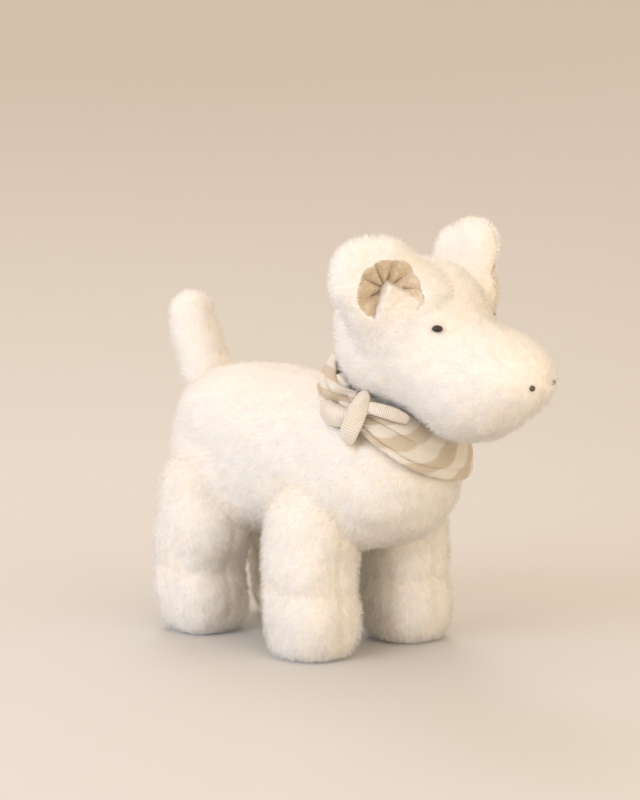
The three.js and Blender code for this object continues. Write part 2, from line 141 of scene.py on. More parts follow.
NAP_CENTRE = (10.0, 4.0, -20.0)  # the ear's nap runs away from here
LINING_GATHER = np.array((-6.5, 7.0, -12.0))
LINING_SPAN = (-50, 250)  # degrees round the gather
LINING_COLUMNS, LINING_ROWS = 151, 24
LINING_PLEATS = 4.5  # in each half turn round the gather
LINING_PLEAT_HEIGHT = 5.0
LINING_INSET = 0.8  # the lining's edge lies this far inside the rim
LINING_THICKNESS = 0.8

SCARF_CENTRE = np.array((85.0, 0.0, 161.0))
SCARF_TILT = math.radians(37)
CLOTH = 1.2  # thickness of the scarf's cloth
NAPE_REACH = 43.0  # the scarf stands at least this far out behind the neck
SCARF_STAND = 1.6  # and this far off the fur at its edges
SCARF_BODY = 1.8  # swelling of the wrapped layers
BAND_PLEATS = 2.5  # from its upper edge to its lower edge
SCARF_COVER = 6.5  # no fur grows within this distance of the cloth

# depth and half width of the groove that each seam pulls
LEG_MIDDLE_SEAM = (1.1, 2.2)
ANKLE_SEAM = (0.6, 3.4)
HEEL_SEAM = (0.4, 2.8)
SPINE_SEAM = (1.0, 2.2)
SHOULDER_SEAM = (3.0, 2.6)
FLANK_SEAM = (2.4, 2.8)
GUSSET_SEAM = (1.4, 2.4)
CHEEK_SEAM = (2.6, 2.4)
JAW_SEAM = (1.2, 3.0)
NOSE_SEAM = (1.3, 1.8)
CROWN_SEAM = (0.7, 2.0)
EYE_DIMPLE = (1.6, 5.5)
NOSTRIL_DIMPLE = (1.6, 3.4)
EYE_BALD = 1.9  # no hair is rooted this near the middle of an eye
EYE_BALD_SQUASH = (1, 1, 2.0)  # and half as far above or below it
NOSTRIL_BALD = 1.7

# the camera's place round the toy in degrees, and what it looks at
VIEW_AZIMUTH, VIEW_ELEVATION = 48.0, 6.8
VIEW_TARGET = np.array((8.0, 9.0, 158.7))
VIEW_DISTANCE = 1600
LENS, SENSOR_WIDTH = 107.46, 36
STUDIO_CENTRE = np.array((10.0, 0.0, 120.0))
# place to the right of the centre, towards the camera and up; size in metres, watts, colour; aim
LIGHTS = {
    "key": ((-1350, 1150, 560), 1.2, 19, (0.68, 0.78, 1.0), (-250, -500, 0)),
    "panel": ((900, 750, 110), 0.45, 1.8, (1.0, 0.90, 0.70), (0, 0, 0)),
    "fill": ((500, 1700, 600), 1.8, 8, (0.76, 0.82, 0.96), (0, 0, 0)),
    "rear": ((-200, -1200, 1350), 0.7, 6.5, (0.85, 0.90, 1.0), (0, 0, 0)),
}
SKY_COLOUR = (1.0, 0.79, 0.56)
SKY_STRENGTH = 1.02
# the backdrop, in metres
FLOOR_RADIUS = 1.1
WALL_RADIUS = 1.6


# ---- frames
def to_row(points):
    """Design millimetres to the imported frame's metres."""
    return (np.asarray(points, float) + (ORIGIN_X, 0, 0)) / 1000


def turn_z(angle):
    c, s = math.cos(angle), math.sin(angle)
    return np.array(((c, -s, 0), (s, c, 0), (0, 0, 1)))


def turn_x(angle):
    c, s = math.cos(angle), math.sin(angle)
    return np.array(((1, 0, 0), (0, c, -s), (0, s, c)))


HEAD_TURN = turn_z(HEAD_YAW) @ turn_x(HEAD_ROLL)


def head_point(local):
    return np.asarray(local, float) @ HEAD_TURN.T + HEAD_ORIGIN


def head_local(points):
    return (points - HEAD_ORIGIN) @ HEAD_TURN


def normalise(vectors):
    return vectors / np.maximum(np.linalg.norm(vectors, axis=-1, keepdims=True), 1e-9)


# ---- swollen shapes
def smooth_min(a, b, blend):
    overlap = np.maximum(blend - np.abs(a - b), 0) / blend
    return np.minimum(a, b) - overlap * overlap * blend / 4


class Shape:
    """A smooth union of swollen ellipsoids, each a centre, radii and roundness; rays start at the centre."""

    def __init__(self, blobs, blend, centre, turn=None, origin=(0, 0, 0)):
        self.blobs = blobs
        self.blend = blend
        self.turn = np.eye(3) if turn is None else turn
        self.origin = np.asarray(origin, float)
        self.centre = np.asarray(centre, float) @ self.turn.T + self.origin

    def depth(self, points):
        """Rough distance to the surface, negative inside."""
        local = (points - self.origin) @ self.turn
        total = None
        for at, radii, power in self.blobs:
            reach = (np.abs((local - at) / radii) ** power).sum(axis=1) ** (1 / power)
            value = (reach - 1) * float(np.prod(radii)) ** (1 / 3)
            total = value if total is None else smooth_min(total, value, self.blend)
        return total


class Capsule:
    """A tapered round bar with domed ends."""

    def __init__(self, start, end, radii):
        self.start, self.end, self.radii = start, end, radii
        self.centre = (start + end) / 2

    def depth(self, points):
        along = self.end - self.start
        t = np.clip((points - self.start) @ along / (along @ along), 0, 1)
        axis_points = self.start + t[:, None] * along
        radius = self.radii[0] + (self.radii[1] - self.radii[0]) * t
        return np.linalg.norm(points - axis_points, axis=1) - radius


CAST_REACH = 260.0  # longer than any ray inside the toy
CAST_STEPS = 22


def cast(shape, directions, level, start):
    """Where a shape's depth reaches the level, along rays from a start or from one start each."""
    low = np.zeros(len(directions))
    high = np.full(len(directions), CAST_REACH)
    for _ in range(CAST_STEPS):
        middle = (low + high) / 2
        inside = shape.depth(start + directions * middle[:, None]) < level
        low = np.where(inside, middle, low)
        high = np.where(inside, high, middle)
    return start + directions * low[:, None]


TRUNK = Shape(
    [
        ((-42, 0, TRUNK_MIDDLE_Z), (55, TRUNK_HALF_WIDTH, TRUNK_HALF_HEIGHT), 2.7),
        ((16, 0, TRUNK_MIDDLE_Z), (58, TRUNK_HALF_WIDTH - 2, TRUNK_HALF_HEIGHT - 2), 2.2),
        ((74, 0, TRUNK_MIDDLE_Z - 2), (55, TRUNK_HALF_WIDTH - 2, TRUNK_HALF_HEIGHT - 5), 2.2),
    ],
    TRUNK_BLEND,
    (10, 0, TRUNK_MIDDLE_Z),
)
NECK_BALL = Shape([(tuple(NECK), (NECK_RADIUS,) * 3, 2.0)], 1, tuple(NECK))
HEAD = Shape(
    [
        ((2, 0, -5), (50, 50, 49.5), 2.3),
        ((47, 0, -34.5), (38, 41.5, 38.5), 2.2),
        ((70.5, 0, -31), (31, 32.5, 23.8), 2.1),
    ],
    HEAD_BLEND,
    (30, 0, -20),
    HEAD_TURN,
    HEAD_ORIGIN,
)
TAIL = Capsule(TAIL_BASE, TAIL_TIP, TAIL_RADII)


def ear_axes(side, angle):
    """Columns: the way the ear opens, its width and its height, in design axes."""
    return HEAD_TURN @ turn_z(side * math.radians(angle))


class EarShape:
    """A thick round flap that flows into the head, ending in a skirt that lies on the head."""

    def __init__(self, side, at, angle):
        axes = ear_axes(side, angle)
        centre = head_point(at)
        blobs = [((x, -side * y, z), radii, 2.3) for (x, y, z), radii in EAR_BLOBS[side]]
        self.flap = Shape(blobs, EAR_FLAP_BLEND, blobs[0][0], axes, centre)
        self.centre = self.flap.centre

    def body(self, points):
        return self.flap.depth(points)

    def depth(self, points):
        flap = self.flap.depth(points)
        joined = smooth_min(flap, HEAD.depth(points), EAR_BLEND)
        return np.maximum(joined, flap - EAR_SKIRT)


EAR_SHAPES = {name: EarShape(*place) for name, place in EARS.items()}


def on_head(place, axis, side):
    """The point of the head's outline where a ray from under it leaves, and the ray's way."""
    mirror = np.array((1, side, 1))
    way = normalise(np.asarray(axis) * mirror) @ HEAD_TURN.T
    start = head_point(np.asarray(place) * mirror) - way * 20
    return cast(HEAD, way[None], 0.0, start[None])[0], way


def leg_shape(x, side, hip_z):
    y = side * LEG_Y
    blobs = [
        ((x, y, hip_z + 6), (LEG_RADIUS, LEG_RADIUS, LEG_RADIUS), 2.0),
        ((x + 0.5, y, 54), (LEG_RADIUS + 2.2, LEG_RADIUS + 1.4, 46), 2.4),
        ((x + 3, y, 20), (32.5, 30.5, 28), 2.5),
    ]
    if x < 0:
        blobs.append(((x + 12, y + side * 2, 72), (27, 27, 24), 2.2))
    return Shape(blobs, LEG_BLEND, (x + 1, y, 48))


LEG_SHAPES = {name: leg_shape(*place) for name, place in LEGS.items()}


# ---- smooth noise
def waves(points, size, seed, count=14):
    """Smooth noise between about -1 and 1, with lumps of the given size."""
    rng = np.random.default_rng(seed)
    total = np.zeros(len(points))
    for _ in range(count):
        direction = normalise(rng.normal(size=3))
        pitch = 2 * math.pi / size * rng.uniform(0.6, 1.5)
        total += np.sin(points @ direction * pitch + rng.uniform(0, 2 * math.pi))
    return total / math.sqrt(count) / 1.2


# ---- meshes
def make_object(name, points, faces, material):
    mesh = bpy.data.meshes.new(name)
    mesh.from_pydata(to_row(points).tolist(), [], faces)
    mesh.update()
    mesh.shade_smooth()
    mesh.materials.append(material)
    piece = bpy.data.objects.new(name, mesh)
    bpy.context.scene.collection.objects.link(piece)
    return piece


def ball_grid(level):
    """Unit directions and triangles of an icosphere."""
    bm = bmesh.new()
    bmesh.ops.create_icosphere(bm, subdivisions=level, radius=1.0)
    bm.verts.ensure_lookup_table()
    points = np.array([v.co[:] for v in bm.verts])
    faces = np.array([[v.index for v in f.verts] for f in bm.faces])
    bm.free()
    return normalise(points), faces


def vertex_normals(points, faces):
    a, b, c = (points[faces[:, k]] for k in range(3))
    face_normals = np.cross(b - a, c - a)
    normals = np.zeros_like(points)
    for k in range(3):
        np.add.at(normals, faces[:, k], face_normals)
    return normalise(normals)


def grid_faces(rows, columns, wrap):
    """Quads of a grid of points stored row by row; wrap joins each row's ends."""
    faces = []
    for row in range(rows - 1):
        for column in range(columns if wrap else columns - 1):
            after = (column + 1) % columns
            low, high = row * columns, (row + 1) * columns
            faces.append((low + column, low + after, high + after, high + column))
    return faces


def add_uvs(piece, uvs):
    layer = piece.data.uv_layers.new(name="cloth")
    corners = np.empty(len(piece.data.loops), np.int32)
    piece.data.loops.foreach_get("vertex_index", corners)
    layer.data.foreach_set("uv", np.asarray(uvs, np.float32)[corners].ravel())


def thicken(piece, thickness):
    modifier = piece.modifiers.new("thickness", "SOLIDIFY")
    modifier.thickness = thickness / 1000
    modifier.offset = 0


# ---- seams and creases
FAR_AWAY = 1e3


def line_distance(line):
    """Distance to a chain of points."""
    line = np.asarray(line, float)

    def distance(points):
        best = np.full(len(points), FAR_AWAY)
        for start, end in zip(line[:-1], line[1:]):
            along = end - start
            t = np.clip((points - start) @ along / (along @ along), 0, 1)
            best = np.minimum(best, np.linalg.norm(points - start - t[:, None] * along, axis=1))
        return best
    return distance


def limited(distance, test):
    """A seam that runs only where the test holds."""
    return lambda points: np.where(test(points), distance(points), FAR_AWAY)


def seam_pull(points, seams):
    """How far the stitching pulls each point in. A seam is (distance function, depth, half width)."""
    pull = np.zeros(len(points))
    for distance, depth, width in seams:
        pull = np.maximum(pull, depth * np.exp(-((distance(points) / width) ** 2)))
    return pull


def fillet(points, others, blend):
    """How far the fabric rises where it meets its neighbours."""
    rise = np.zeros(len(points))
    for other in others:
        gap = np.abs(other.depth(points) + BACKING_DEPTH)
        overlap = np.maximum(blend - gap, 0) / blend
        rise = np.maximum(rise, overlap * overlap * blend / 4)
    return rise


class Skin:
    """The fabric's surface: points, triangles and normals, in design millimetres."""

    def __init__(self, points, faces, seams=()):
        self.points = points
        self.faces = faces
        self.seams = seams
        self.normals = vertex_normals(points, faces)


def stuffed(points, faces, seams, seed, neighbours=(), blend=FILLET):
    """A skin with the soft lumps of its stuffing, pulled in at its seams."""
    normals = vertex_normals(points, faces)
    lumps = sum(height * waves(points, size, seed + step) for step, (height, size) in enumerate(LUMPS))
    rise = fillet(points, neighbours, blend) - seam_pull(points, seams)
    return Skin(points + normals * (lumps + rise)[:, None], faces, seams)


def ball_skin(shape, level, seams, seed, neighbours=(), blend=FILLET):
    directions, faces = ball_grid(level)
    points = cast(shape, directions, -BACKING_DEPTH, shape.centre)
    return stuffed(points, faces, seams, seed, neighbours, blend)


# ---- fur pile
def scatter(skin, area, rng):
    """Random roots on the skin, with their normals."""
    a, b, c = (skin.points[skin.faces[:, k]] for k in range(3))
    areas = np.linalg.norm(np.cross(b - a, c - a), axis=1) / 2
    count = int(areas.sum() / area)
    chosen = rng.choice(len(areas), size=count, p=areas / areas.sum())
    u, v = rng.random(count), rng.random(count)
    flip = u + v > 1
    u, v = np.where(flip, 1 - u, u), np.where(flip, 1 - v, v)
    weights = np.stack((1 - u - v, u, v), axis=1)[:, :, None]
    corners = skin.faces[chosen]
    roots = (skin.points[corners] * weights).sum(axis=1)
    return roots, normalise((skin.normals[corners] * weights).sum(axis=1))


CLUMP_SWAY, HAIR_SWAY = 0.55, 0.35  # radians from the nap, for a clump and for a hair in it
CLUMP_BEND, HAIR_BEND = 0.25, 0.15  # change of the lean, for a clump and for a hair in it
SWAY_CLUMP, BEND_CLUMP = 14, 9  # size of a clump
HAIR_TWIST = 0.25
HAIR_LENGTHS = (0.7, 1.1)  # shortest and longest, for the length asked for
HAIR_WIDTHS = (0.75, 1.3)
RIDGE_HEIGHT = 0.55  # of half the hair's width
SHADING_LEAN, SHADING_SCATTER = 0.15, 0.09
SPIKE_FACETS = ((0, 3, 1), (1, 3, 2), (2, 3, 0))  # two upper facets and the underside


def square_to(vectors, axis):
    """The part of each vector that is square to its axis, at unit length."""
    return normalise(vectors - axis * (vectors * axis).sum(axis=1, keepdims=True))


def hair_axes(roots, normals, flow, rng, seed):
    """Each hair's way along the fabric and the way it points, by small clumps."""
    count = len(roots)
    flow = square_to(flow, normals)
    across = np.cross(normals, flow)
    sway = CLUMP_SWAY * waves(roots, SWAY_CLUMP, seed + 5) + HAIR_SWAY * rng.normal(size=count)
    clump_lean = PILE_LEAN * (1 + CLUMP_BEND * waves(roots, BEND_CLUMP, seed + 6))
    bend = clump_lean + HAIR_BEND * rng.normal(size=count)
    tangent = flow * np.cos(sway)[:, None] + across * np.sin(sway)[:, None]
    return tangent, normalise(normals + tangent * bend[:, None])


def blades(roots, normals, flow, length, rng, seed):
    """A slim closed three-sided spike for each root: points, triangles and the corners' normals."""
    count = len(roots)
    tangent, axis = hair_axes(roots, normals, flow, rng, seed)
    length = length * rng.uniform(*HAIR_LENGTHS, size=count)
    side = normalise(np.cross(normals, tangent) + HAIR_TWIST * rng.normal(size=(count, 3)))
    ridge = np.cross(axis, square_to(side, axis))
    ridge *= np.sign((ridge * normals).sum(axis=1, keepdims=True) + 1e-9)
    side = np.cross(ridge, axis)
    half = HAIR_WIDTH / 2 * rng.uniform(*HAIR_WIDTHS, size=(count, 1))
    foot = roots - normals * HAIR_FOOT
    points = np.empty((count, 4, 3))
    points[:, 0] = foot - side * half
    points[:, 1] = foot + ridge * half * RIDGE_HEIGHT
    points[:, 2] = foot + side * half
    points[:, 3] = roots + axis * length[:, None]
    points[:, :, 2] = np.maximum(points[:, :, 2], GROUND_CLEARANCE)
    base = np.arange(count)[:, None] * 4
    faces = np.stack([base + np.array(corners) for corners in SPIKE_FACETS], axis=1).reshape(-1, 3)
    return points.reshape(-1, 3), faces, spike_shading(normals, axis, ridge, rng)


def spike_shading(normals, axis, ridge, rng):
    """The upper facets shade like the fabric under them, the underside like what it is."""
    count = len(normals)
    soft = normalise(normals + SHADING_LEAN * axis + SHADING_SCATTER * rng.normal(size=(count, 3)))
    shading = np.repeat(soft, 9, axis=0).reshape(count, 3, 3, 3)
    shading[:, 2] = -normalise(ridge)[:, None]
    return shading.reshape(-1, 3)


SHORTEST_HAIR = 0.35  # of the full length, where a part leaves its neighbour
FULL_PULL = 2.0  # a seam this deep shortens its fur the most and paints the most shade on it
SEAM_TRIM = 0.7
USUAL_TONE = 2.5  # tones count from 0, the strand of painted shade, to 3, the whitest
# painted shade: tone steps that a full seam takes off its hairs
SEAM_PAINTED_SHADE = 2.2
TONE_DRIFT, TONE_SCATTER = 0.35, 0.35
TONE_CLUMP = 9


def untrimmed(roots):
    return np.ones(len(roots))


def unshaded(roots):
    return np.zeros(len(roots))


def shorter_near(shape, margin):
    """Hair grows out to its full length over the crease's reach from where it leaves its neighbour."""
    return lambda roots: np.clip((shape.depth(roots) - margin) / CREASE_REACH, SHORTEST_HAIR, 1)


def triangle_mesh(name, points, faces):
    mesh = bpy.data.meshes.new(name)
    mesh.vertices.add(len(points))
    mesh.vertices.foreach_set("co", to_row(points).astype(np.float32).ravel())
    mesh.loops.add(len(faces) * 3)
    mesh.loops.foreach_set("vertex_index", faces.astype(np.int32).ravel())
    mesh.polygons.add(len(faces))
    mesh.polygons.foreach_set("loop_start", np.arange(0, len(faces) * 3, 3, dtype=np.int32))
    mesh.update(calc_edges=True)
    mesh.shade_smooth()
    return mesh


def add_pile(name, skin, flow, keep, seed, length=PILE_LENGTH, shade=unshaded, trim=untrimmed):
    """The hairs of one skin, of four tones, shorter in its seams, with painted shade in the seams and where
    shade gives it.
    """
    rng = np.random.default_rng(seed)
    roots, normals = scatter(skin, HAIR_AREA, rng)
    kept = keep(roots)
    roots, normals = roots[kept], normals[kept]
    pull = np.clip(seam_pull(roots, skin.seams) / FULL_PULL, 0, 1)
    lengths = length * (1 - SEAM_TRIM * pull) * trim(roots)
    points, faces, shading = blades(roots, normals, flow(roots), lengths, rng, seed)
    mesh = triangle_mesh(name, points, faces)
    for item in STRANDS:
        mesh.materials.append(item)
    drift = TONE_DRIFT * waves(roots, TONE_CLUMP, seed + 9)
    # painted shade: hairs in seams and in shaded places take the warmer, darker tones
    tone = USUAL_TONE + drift + TONE_SCATTER * rng.normal(size=len(roots)) - SEAM_PAINTED_SHADE * pull
    tone = np.clip(tone - shade(roots), 0, len(STRANDS) - 1).astype(np.int32)
    mesh.polygons.foreach_set("material_index", np.repeat(tone, 3))
    mesh.normals_split_custom_set(shading.astype(np.float32))
    piece = bpy.data.objects.new(name, mesh)
    bpy.context.scene.collection.objects.link(piece)
    piece.visible_shadow = False
    return piece


# ---- materials
def principled(name, colour, roughness=0.9, sheen=0.0, specular=0.2):
    material = bpy.data.materials.new(name)
    material.use_nodes = True
    inputs = shader_of(material).inputs
    inputs["Base Color"].default_value = (*colour, 1)
    inputs["Roughness"].default_value = roughness
    inputs["Sheen Weight"].default_value = sheen
    inputs["Sheen Roughness"].default_value = 0.5
    inputs["Specular IOR Level"].default_value = specular
    return material


def shader_of(material):
    return material.node_tree.nodes["Principled BSDF"]


def link(material, source, target):
    material.node_tree.links.new(source, target)


def noise_node(material, scale, detail, roughness):
    nodes = material.node_tree.nodes
    place = nodes.new("ShaderNodeTexCoord")
    node = nodes.new("ShaderNodeTexNoise")
    node.inputs["Scale"].default_value = scale
    node.inputs["Detail"].default_value = detail
    node.inputs["Roughness"].default_value = roughness
    link(material, place.outputs["Object"], node.inputs["Vector"])
    return node


def wave_node(material, scale, direction, distortion=0.0):
    """Bands across the cloth, in the cloth's own length and width."""
    nodes = material.node_tree.nodes
    place = nodes.new("ShaderNodeTexCoord")
    node = nodes.new("ShaderNodeTexWave")
    node.bands_direction = direction
    node.inputs["Scale"].default_value = scale
    node.inputs["Distortion"].default_value = distortion
    node.inputs["Detail"].default_value = 2
    node.inputs["Detail Scale"].default_value = 1.5
    link(material, place.outputs["UV"], node.inputs["Vector"])
    return node


def ramp_node(material, source, stops):
    node = material.node_tree.nodes.new("ShaderNodeValToRGB")
    ramp = node.color_ramp
    while len(ramp.elements) < len(stops):
        ramp.elements.new(0.5)
    for element, (place, colour) in zip(ramp.elements, stops):
        element.position = place
        element.color = (*colour, 1)
    link(material, source, node.inputs["Fac"])
    return node


def speckle(material, stops, scale, detail=3, roughness=0.6):
    """Colours the shader by fine noise, and hands the noise back."""
    noise = noise_node(material, scale, detail, roughness).outputs["Fac"]
    colours = ramp_node(material, noise, stops)
    link(material, colours.outputs["Color"], shader_of(material).inputs["Base Color"])
    return noise


def bump(material, source, strength, distance, under=None):
    node = material.node_tree.nodes.new("ShaderNodeBump")
    node.inputs["Strength"].default_value = strength
    node.inputs["Distance"].default_value = distance
    link(material, source, node.inputs["Height"])
    if under is not None:
        link(material, under.outputs["Normal"], node.inputs["Normal"])
    link(material, node.outputs["Normal"], shader_of(material).inputs["Normal"])
    return node


def fur_backing():
    """Mottled cream plush under the pile."""
    material = principled("fur_backing", (0.9, 0.82, 0.7), roughness=1.0, sheen=0.3)
    stops = [(0.3, (0.86, 0.75, 0.60)), (0.7, (0.95, 0.90, 0.81))]
    mottle = speckle(material, stops, scale=260, detail=6, roughness=0.7)
    bump(material, mottle, strength=0.6, distance=0.0006)
    return material


def fur_strands():
    """One material for each tone of hair, from the warmest to the whitest."""
    tones = {
        # the first tone is painted shade for seams, creases and the ear's mound; the second is both a warm
        # tone met at random and lighter painted shade
        "shade": (0.90, 0.80, 0.66),
        "warm_and_painted_shade": (0.945, 0.88, 0.77),
        "cream": (0.965, 0.925, 0.85),
        "white": (0.98, 0.955, 0.905),
    }
    return [principled(f"fur_{name}", colour, sheen=0.2, specular=0.15) for name, colour in tones.items()]


STRIPE_SCALE = 21.0  # the wave's own scale: the larger, the closer the bands
RIB_SCALE = 245.0
SCARF_CREAM = (0.84, 0.785, 0.69)
SCARF_BEIGE = (0.66, 0.56, 0.43)
SCARF_PALE = (0.80, 0.735, 0.63)
# painted shade that darkens the ribs' grooves
RIB_GROOVE_PAINTED_SHADE = (0.80, 0.74, 0.66)


def scarf_cloth(name, stripe):
    """Ribbed cotton, cream with wide slanting stripes of a second colour."""
    material = principled(name, SCARF_CREAM, sheen=0.25)
    stripes = wave_node(material, STRIPE_SCALE, "DIAGONAL", distortion=0.4)
    dye = ramp_node(material, stripes.outputs["Fac"], [(0.36, stripe), (0.62, SCARF_CREAM)])
    # painted shade: the colour is darkened where the ribs' bump is low
    ribs = wave_node(material, RIB_SCALE, "X", distortion=0.4)
    rib_painted_shade = ramp_node(material, ribs.outputs["Fac"], [(0.1, RIB_GROOVE_PAINTED_SHADE), (0.6, (1, 1, 1))])
    node = material.node_tree.nodes.new("ShaderNodeMix")
    node.data_type = "RGBA"
    node.blend_type = "MULTIPLY"
    node.inputs["Factor"].default_value = 0.75
    link(material, dye.outputs["Color"], node.inputs["A"])
    link(material, rib_painted_shade.outputs["Color"], node.inputs["B"])
    link(material, node.outputs["Result"], shader_of(material).inputs["Base Color"])
    fuzz = noise_node(material, scale=1400, detail=3, roughness=0.6)
    under = bump(material, fuzz.outputs["Fac"], strength=0.25, distance=0.0003)
    bump(material, ribs.outputs["Fac"], strength=0.5, distance=0.0005, under=under)
    return material


LINEN_SCALE = 330.0


def ear_linen():
    """Plain-woven natural linen with slubs."""
    material = principled("ear_linen", (0.72, 0.57, 0.38), sheen=0.2)
    stops = [(0.3, (0.58, 0.44, 0.29)), (0.55, (0.72, 0.59, 0.42)), (0.75, (0.84, 0.75, 0.61))]
    speckle(material, stops, scale=420, detail=5, roughness=0.65)
    under = None
    for direction in ("X", "Y"):
        threads = wave_node(material, LINEN_SCALE, direction, distortion=1.0)
        under = bump(material, threads.outputs["Fac"], strength=0.35, distance=0.0003, under=under)
    return material


def eye_glass():
    """Near-black glossy plastic."""
    material = principled("eye_bead", (0.012, 0.009, 0.008), roughness=0.12, specular=0.6)
    speckle(material, [(0.3, (0.010, 0.007, 0.006)), (0.8, (0.030, 0.020, 0.014))], scale=300)
    return material


def thread():
    """Dark brown embroidery thread."""
    material = principled("nostril_thread", (0.10, 0.07, 0.05), roughness=0.7, sheen=0.2)
    stops = [(0.3, (0.05, 0.035, 0.028)), (0.7, (0.16, 0.115, 0.085))]
    twist = speckle(material, stops, scale=1500, detail=4)
    bump(material, twist, strength=0.8, distance=0.0004)
    return material


def washer_plastic():
    """White moulded plastic with a fine grain."""
    material = principled("washer_plastic", (0.8, 0.79, 0.76), roughness=0.45)
    grain = speckle(material, [(0.3, (0.74, 0.73, 0.70)), (0.7, (0.83, 0.82, 0.79))], scale=900)
    bump(material, grain, strength=0.2, distance=0.0002)
    return material


# ---- studio
def view_axes():
    """The way back to the camera, and the picture's way right."""
    a, e = math.radians(VIEW_AZIMUTH), math.radians(VIEW_ELEVATION)
    back = np.array((math.sin(a) * math.cos(e), -math.cos(a) * math.cos(e), math.sin(e)))
    right = np.array((math.cos(a), math.sin(a), 0))
    return back, right


def add_facing(name, data, place, way):
    """A camera or a light at a place, facing one way."""
    thing = bpy.data.objects.new(name, data)
    thing.location = to_row(place)
    thing.rotation_mode = "QUATERNION"
    thing.rotation_quaternion = Vector(way).to_track_quat("-Z", "Y")
    bpy.context.scene.collection.objects.link(thing)
    return thing


def add_camera():
    back, _ = view_axes()
    data = bpy.data.cameras.new("camera")
    data.lens = LENS
    data.sensor_width = SENSOR_WIDTH
    data.clip_end = 50
    bpy.context.scene.camera = add_facing("camera", data, VIEW_TARGET + back * VIEW_DISTANCE, -back)


def studio_place(offset):
    back, right = view_axes()
    return STUDIO_CENTRE + right * offset[0] + back * offset[1] + (0, 0, offset[2])


def add_area_light(name, offset, size, power, colour, aim):
    place, target = studio_place(offset), studio_place(aim)
    data = bpy.data.lights.new(name, "AREA")
    data.shape = "SQUARE"
    data.size = size
    data.energy = power
    data.color = colour
    light = add_facing(name, data, place, target - place)
    light.visible_camera = False


def add_backdrop():
    """A round bowl: a flat floor that curves up into a wall on every side."""
    profile = [(0.0, 0.0), (FLOOR_RADIUS / 2, 0.0), (FLOOR_RADIUS, 0.0)]
    for t in np.linspace(0.1, math.pi / 2, 12):
        profile.append((FLOOR_RADIUS + WALL_RADIUS * math.sin(t), WALL_RADIUS * (1 - math.cos(t))))
    columns = 96
    points = [(0.0, 0.0, 0.0)]
    for radius, height in profile[1:]:
        for column in range(columns):
            angle = 2 * math.pi * column / columns
            points.append((radius * math.cos(angle), radius * math.sin(angle), height))
    faces = [(0, 1 + column, 1 + (column + 1) % columns) for column in range(columns)]
    rings = grid_faces(len(profile) - 1, columns, True)
    faces += [tuple(1 + index for index in reversed(quad)) for quad in rings]
    mesh = bpy.data.meshes.new("floor")
    mesh.from_pydata(points, [], faces)
    mesh.shade_smooth()
    floor = bpy.data.objects.new("floor", mesh)
    bpy.context.scene.collection.objects.link(floor)
    mesh.materials.append(principled("floor_paper", (0.655, 0.645, 0.625), roughness=0.95, specular=0.1))


def add_studio():
    world = bpy.data.worlds.new("studio")
    world.use_nodes = True
    background = world.node_tree.nodes["Background"]
    background.inputs["Color"].default_value = (*SKY_COLOUR, 1)
    background.inputs["Strength"].default_value = SKY_STRENGTH
    bpy.context.scene.world = world
    bpy.context.scene.view_settings.view_transform = "Standard"
    for name, values in LIGHTS.items():
        add_area_light(name, *values)


# ---- seams of each part
def mirrored(line, side):
    return [(x, side * y, z) for x, y, z in line]


def leg_seams(x, side, hip_z):
    y = side * LEG_Y
    middle = limited(lambda p: p[:, 1] - y, lambda p: (p[:, 2] < hip_z + 22) & (p[:, 2] > 8))
    ankle = limited(lambda p: p[:, 2] - ANKLE_Z + 0.12 * (p[:, 0] - x), lambda p: p[:, 0] > x - 10)
    heel = limited(lambda p: p[:, 2] - HEEL_Z - 0.15 * (p[:, 0] - x), lambda p: p[:, 0] > x + 6)
    return [(middle, *LEG_MIDDLE_SEAM), (ankle, *ANKLE_SEAM), (heel, *HEEL_SEAM)]


def trunk_seams():
    spine = limited(lambda p: p[:, 1], lambda p: p[:, 2] > 140)
    seams = [(spine, *SPINE_SEAM)]
    shoulder = [(86, 30, 172), (100, 40, 150), (103, 49, 131), (99, 52, 115), (88, 50, 97), (80, 44, 84)]
    flank = [(-16, 57, 108), (-14, 53, 96), (-14, 47, 84)]
    gusset = [(-88, 26, 92), (-40, 26, 72), (20, 26, 70), (80, 26, 78), (110, 24, 94)]
    for side in (-1, 1):
        for line, pull in ((shoulder, SHOULDER_SEAM), (flank, FLANK_SEAM), (gusset, GUSSET_SEAM)):
            seams.append((line_distance(mirrored(line, side)), *pull))
    return seams


def point_distance(at):
    return lambda points: np.linalg.norm(points - at, axis=1)


def head_seams():
    cheek = [(60, 38, 2), (46, 42, -6), (36, 44, -17), (32, 44, -30), (30.5, 41, -41), (33, 37, -52),
             (42, 30, -64), (43, 16, -73), (44, 0, -75)]
    jaw = [(61, 41, -44), (59, 36, -57), (50, 21, -70)]
    nose = [(95, 15, -26), (99.5, 7, -28), (100, 0, -29.5)]
    seams = []
    for side in (-1, 1):
        for line, pull in ((cheek, CHEEK_SEAM), (jaw, JAW_SEAM), (nose, NOSE_SEAM)):
            seams.append((line_distance(head_point(mirrored(line, side))), *pull))
        for place, axis, pull in ((EYE, EYE_AXIS, EYE_DIMPLE), (NOSTRIL, NOSTRIL_AXIS, NOSTRIL_DIMPLE)):
            seams.append((point_distance(on_head(place, axis, side)[0]), *pull))
    crown = limited(lambda p: head_local(p)[:, 1], lambda p: head_local(p)[:, 0] < 30)
    seams.append((crown, *CROWN_SEAM))
    return seams


# ---- where fur grows, and which way
NAP_START = np.array((112.0, 0.0, -30.0))
TRUNK_NAP = (-0.8, 0, -0.6)
LEG_NAP = (0.1, 0, -1)
NECK_NAP = (-0.5, 0, -1)
LEG_OVERLAP, TAIL_OVERLAP = -7, -8  # fur reaches this far into the trunk
# painted shade in the creases between parts, in tone steps
CREASE_PAINTED_SHADE = 1.3


def constant_flow(direction):
    return lambda roots: np.tile(np.asarray(direction, float), (len(roots), 1))


